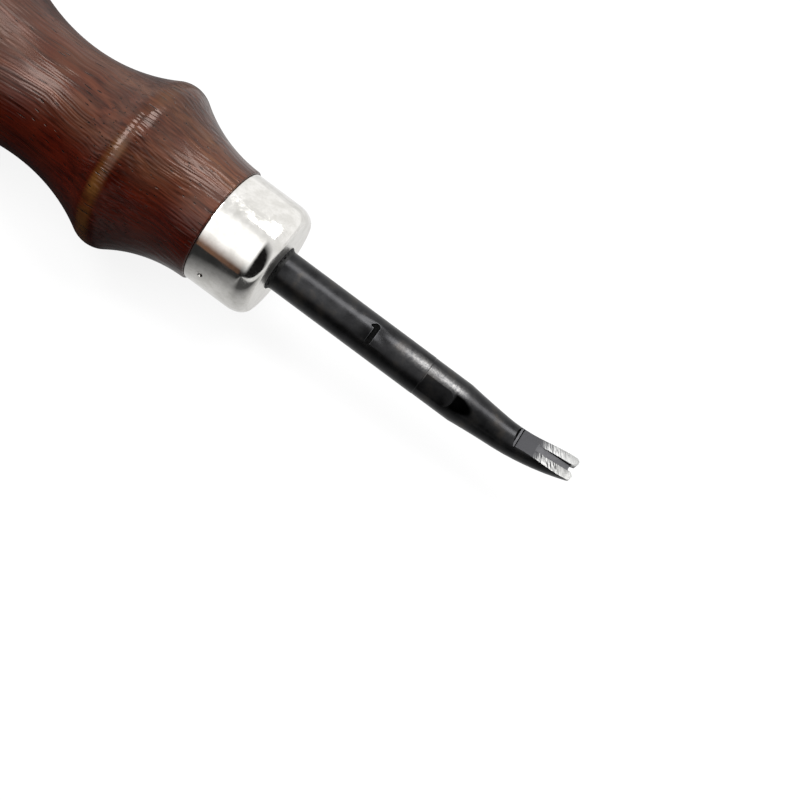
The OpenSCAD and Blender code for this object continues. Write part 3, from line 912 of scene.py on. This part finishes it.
def soften(piece, chosen, width, segments):
    """Bevels the sharp edges that a test of their two ends chooses."""
    edit(piece)
    mesh = bmesh.from_edit_mesh(piece.data)
    bpy.ops.mesh.select_all(action="DESELECT")
    bpy.ops.mesh.select_mode(type="EDGE")
    edges = [edge for edge in mesh.edges if len(edge.link_faces) == 2 and edge.calc_face_angle() > sharp
             and all(chosen(vertex.co) for vertex in edge.verts)]
    for edge in edges:
        edge.select_set(True)
    bmesh.update_edit_mesh(piece.data)
    bpy.ops.mesh.bevel(offset=width, segments=segments, clamp_overlap=False)
    bpy.ops.object.mode_set(mode="OBJECT")
    print(f"softened {len(edges)} edges of {piece.name}")


def bed_height(point):
    """How far a point is above the bed."""
    return point.z - bed_z - (point.x - bed_x) * math.tan(bed_slope)


def on_channel_rim(point):
    """Whether a point is on one of the long rims of the channel."""
    along = rim_start - WELD < point.x
    return along and abs(bed_height(point)) < flat_gap and abs(abs(point.y) - half_w) < flat_gap


def on_numeral_rim(point):
    """Whether a point is on the rim of the numeral."""
    along = abs(point.x - numeral_at) < half_h
    return along and abs(math.hypot(point.y, point.z) - shank_r) < round_gap


score(cutter_bar, rim_start, edge_x)
soften(cutter_bar, on_channel_rim, channel_soft, 3)
soften(cutter_bar, on_numeral_rim, numeral_soft, 2)

# %% Finish the cutter
BLACK, MILLED, GROUND, SCALE_AND_SHADE = range(4)
bed_normal = Vector((-math.sin(bed_slope), 0, math.cos(bed_slope)))
deep = 0.05
shallow = 0.004
slack = 0.03
level = 0.9
roughly_bed = 0.97
exactly_bed = 0.9995


def on_tip(point):
    """Whether a point is on the round end of a prong."""
    from_centre = math.hypot(point.x - round_x, abs(point.y) - prong_y)
    return point.x > round_x and abs(from_centre - prong_round) < slack


def finish_of(centre, normal):
    """The finish of a face, from its middle and its normal."""
    around = math.hypot(centre.y, centre.z)
    in_step = step_x - WELD < centre.x < bed_x + WELD and around < bar_r(centre.x) - deep
    # The step's walls and the groove in its corner are painted almost black, as shade
    if in_step and (normal.z < level or centre.z < ledge_z - line_depth / 2):
        return SCALE_AND_SHADE
    if centre.x > step_x and normal.dot(bed_normal) > roughly_bed:
        on_bed = normal.dot(bed_normal) > exactly_bed and abs(bed_height(centre)) < slack
        return GROUND if on_bed else MILLED
    if centre.x > edge_x and (abs(abs(centre.y) - half_w) < round_gap or on_tip(centre)):
        return GROUND
    # The numeral's deep faces hold its scale, darkened further as painted shade
    if abs(centre.x - numeral_at) < half_h and around < shank_r - shallow:
        return SCALE_AND_SHADE if around < shank_r - deep else MILLED
    return BLACK


dress(cutter_bar, "blade", "blade_steel", 25, black_oxide, milled_steel, ground_steel, stamp_scale)
counts = [0, 0, 0, 0]
for polygon in cutter_bar.data.polygons:
    polygon.material_index = finish_of(polygon.center / MM, polygon.normal)
    counts[polygon.material_index] += 1
print("faces of blackened, milled, ground and stamped steel:", counts)

# %% [markdown]
# ## Resin lip
# The tang is bedded in dark resin. What shows is a ragged collar where it was squeezed out around the
# shank. The plug is turned with a hollow collar, the collar's vertices are randomised a little, as
# squeezed resin is never neat, and the tang's square hole is taken out of it.

# %% Make the resin and its lip
def make_resin():
    # Cured epoxy with black filler: dark and slightly glossy, a little uneven
    material, tree, shader, place = new_material("cured_resin")
    lumps = add(tree, "TexNoise", {"Vector": place, "Scale": per(0.35)[0], "Detail": 3})
    colour = add(tree, "ValToRGB", {"Fac": lumps}, stops=[(0.35, "#060606"), (0.7, "#141312")])
    bump = add(tree, "Bump", {"Height": lumps, "Strength": 0.6, "Distance": 0.06 * MM})
    tree.links.new(colour.outputs["Color"], shader.inputs["Base Color"])
    tree.links.new(bump.outputs["Normal"], shader.inputs["Normal"])
    shader.inputs["Roughness"].default_value = 0.5
    shader.inputs["Specular IOR Level"].default_value = 0.3
    return material


collar_rows = 6
lip_r = shank_r + 0.02
lip_ahead = -0.22
lip_rough = 0.14
ragged_r = lip_r + 0.04
collar_power = 1.6
collar = []
for row in range(collar_rows + 1):
    share = row / collar_rows
    fall = (1 - share) ** collar_power
    collar.append((ferrule_front + (lip_ahead - ferrule_front) * share, lip_r + (bond_r - lip_r) * fall))
bond_outline = [(bond_back, 0), (bond_back, bond_r), *collar, (0, shank_r - grind_step), (0, neck_pin_r),
                (-neck_len, neck_pin_r), (-neck_len, 0)]
bond = turn("resin_bond", bond_outline, 96)
edit(bond)
mesh = bmesh.from_edit_mesh(bond.data)
for vertex in mesh.verts:
    around = math.hypot(vertex.co.y, vertex.co.z)
    vertex.select_set(vertex.co.x > ferrule_front + WELD and around > ragged_r)
bmesh.update_edit_mesh(bond.data)
bpy.ops.transform.vertex_random(offset=lip_rough, seed=4)
bpy.ops.object.mode_set(mode="OBJECT")
cut(bond, make_tang())
dress(bond, "tang_bond", "bond_resin", 60, make_resin())

# %% [markdown]
# ## Floor and light
# The tool lies on a white board, touching it with its finger ring and its bulb, so the board is the plane
# that touches both circles of the outline. Two softboxes hang overhead: the front one draws the streak
# along the shank and the sheen on the front of the handle, and the rear one lights the waist. Around them
# is a white tent, open on the viewer's side, where a dim, warm room and its window show in the ferrule.
# The board is white to the camera. Polished metal would show it just as white, as if no tool stood over
# it, so its level in reflections falls off under the tool, and most of all on the viewer's side.

# %% Lay the floor
board_m = 4
crest_low = Vector((crest_x, -crest_c[1]))
bulb_low = Vector((ferrule_back - bulb_at, -bulb_c[1]))
apart = bulb_low - crest_low
lean = math.acos((bulb_arc_r - crest_round) / apart.length) - math.atan2(-apart.x, apart.y)
floor_normal = Vector((math.sin(lean), 0, math.cos(lean)))
floor_drop = floor_normal.dot(Vector((crest_low.x, 0, crest_low.y))) - crest_round

bpy.ops.object.select_all(action="DESELECT")
bpy.ops.mesh.primitive_plane_add(
    size=board_m, location=floor_normal * floor_drop * MM, rotation=(0, lean, 0))
floor = bpy.context.object
floor.name = "white_board"
print(f"floor leans {math.degrees(lean):.2f} degrees")

# %% Make the board
camera_glow = 0.88
view_slant = 0.25


def make_board():
    # Matt white board: white to the camera but for the tool's shadow, and shaded by the tool in reflections
    material, tree, shader, place = new_material("matt_white_board")
    rays = add(tree, "LightPath")
    to_camera = rays.outputs["Is Camera Ray"]
    # To the camera the board is white, and to bounced light it is dark grey: painted shade that keeps the
    # bounce off the tool's underside
    paper = add(tree, "Mix", {
        "Factor": to_camera, "A": linear("#404040"), "B": linear("#f6f6f6")}, data_type="RGBA")
    tree.links.new(paper.outputs["Result"], shader.inputs["Base Color"])
    shader.inputs["Roughness"].default_value = 0.9
    spot = add(tree, "SeparateXYZ", {"Vector": place})
    x = spot.outputs["X"]
    y = spot.outputs["Y"]

    # The near side is dark under the shank and darkest under the handle
    by_shank = add(tree, "MapRange", {
        "Value": x, "From Min": -8 * MM, "From Max": -1 * MM, "To Min": 0.3, "To Max": 0.07})
    by_handle = add(tree, "MapRange", {
        "Value": x, "From Min": -16 * MM, "From Max": -8 * MM, "To Min": 0.1, "To Max": 1})
    near = add(tree, "Math", {0: by_shank, 1: by_handle}, operation="MULTIPLY")

    # The far side is bright beside the metal and dimmer beside the handle, along the slant of the view
    slant = add(tree, "Math", {0: y, 1: view_slant, 2: x}, operation="MULTIPLY_ADD")
    far = add(tree, "MapRange", {
        "Value": slant, "From Min": -17 * MM, "From Max": -10.5 * MM, "To Min": 0.3, "To Max": 0.9})
    near_end = add(tree, "MapRange", {
        "Value": x, "From Min": -22 * MM, "From Max": -12 * MM, "To Min": -1 * MM, "To Max": -30 * MM})
    beside = add(tree, "MapRange", {
        "Value": y, "From Min": near_end, "From Max": 4 * MM, "To Min": near, "To Max": far})

    # Nothing shades it ahead of the tip
    ahead = add(tree, "MapRange", {
        "Value": x, "From Min": 40 * MM, "From Max": 55 * MM, "To Min": 0, "To Max": 0.8})
    shade = add(tree, "Math", {0: beside, 1: ahead}, operation="MAXIMUM")
    level = add(tree, "Math", {0: to_camera, 1: shade}, operation="MAXIMUM")
    for_camera = add(tree, "Math", {0: to_camera, 1: camera_glow}, operation="MULTIPLY")
    share = add(tree, "Math", {0: for_camera, 1: rays.outputs["Is Glossy Ray"]}, operation="MAXIMUM")
    glow = add(tree, "Emission", {"Color": (1, 1, 1, 1), "Strength": level})
    both = add(tree, "MixShader", {0: share, 1: shader, 2: glow})
    tree.links.new(both.outputs[0], tree.nodes["Material Output"].inputs["Surface"])
    return material


floor.data.materials.append(make_board())
print("floor:", floor.name)

# %% Hang the lamps
def lamp(name, place, size, radiance):
    """A level rectangular lamp at a stated radiance."""
    data = bpy.data.lights.new(name, "AREA")
    data.shape = "RECTANGLE"
    data.size, data.size_y = size
    data.energy = radiance * size[0] * size[1] * math.pi
    made = bpy.data.objects.new(name, data)
    bpy.context.scene.collection.objects.link(made)
    made.location = place
    print(f"{name}: {size[0]} x {size[1]} m")


lamp("softbox_front", (0.04, 0.125, 0.44), (0.24, 0.2), 8.8)
lamp("softbox_rear", (-0.265, -0.16, 0.44), (0.19, 0.34), 8.5)

# %% Put up the tent
window_level = 1.5


def make_tent():
    # White cloth behind and beside the tool, and a dim, warm room with a window on the viewer's side
    world = bpy.data.worlds.new("light_tent")
    world.use_nodes = True
    tree = world.node_tree
    direction = add(tree, "TexCoord").outputs["Generated"]
    ray = add(tree, "SeparateXYZ", {"Vector": direction})
    x = ray.outputs["X"]
    y = ray.outputs["Y"]
    tent_end = add(tree, "MapRange", {
        "Value": x, "From Min": -0.5, "From Max": -0.25, "To Min": 0.75, "To Max": 1.1})
    cloth = add(tree, "MapRange", {
        "Value": y, "From Min": -0.3, "From Max": 0.6, "To Min": 0.85, "To Max": tent_end})

    # The room is darkest at its sides, and the window is a soft patch above its floor
    window_left = add(tree, "MapRange", {"Value": x, "From Min": -0.5, "From Max": -0.36})
    window_right = add(tree, "MapRange", {"Value": x, "From Min": 0.22, "From Max": 0.04})
    window_foot = add(tree, "MapRange", {"Value": ray.outputs["Z"], "From Min": 0.12, "From Max": 0.55})
    window_width = add(tree, "Math", {0: window_left, 1: window_right}, operation="MULTIPLY")
    window = add(tree, "Math", {0: window_width, 1: window_foot}, operation="MULTIPLY")
    across_room = add(tree, "MapRange", {"Value": x, "From Min": -0.34, "From Max": 0.05})
    dim_room = add(tree, "ValToRGB", {"Fac": across_room}, stops=[
        (0, "#1c100c"), (0.31, "#84624e"), (0.51, "#2a2625"), (1, "#1a1919")])
    lit_room = add(tree, "Mix", {
        "Factor": window, "A": dim_room, "B": (*[window_level] * 3, 1)}, data_type="RGBA")
    opening = add(tree, "MapRange", {"Value": y, "From Min": -0.1, "From Max": -0.4})
    level = add(tree, "Mix", {"Factor": opening, "A": cloth, "B": lit_room}, data_type="RGBA")
    tent = tree.nodes["Background"]
    tree.links.new(level.outputs["Result"], tent.inputs["Color"])
    white = add(tree, "Background", {"Color": (1, 1, 1, 1), "Strength": 1})
    rays = add(tree, "LightPath")
    both = add(tree, "MixShader", {0: rays.outputs["Is Camera Ray"], 1: tent, 2: white})
    tree.links.new(both.outputs[0], tree.nodes["World Output"].inputs["Surface"])
    return world


bpy.context.scene.world = make_tent()
bpy.context.scene.view_settings.view_transform = "Standard"
print("world:", bpy.context.scene.world.name)
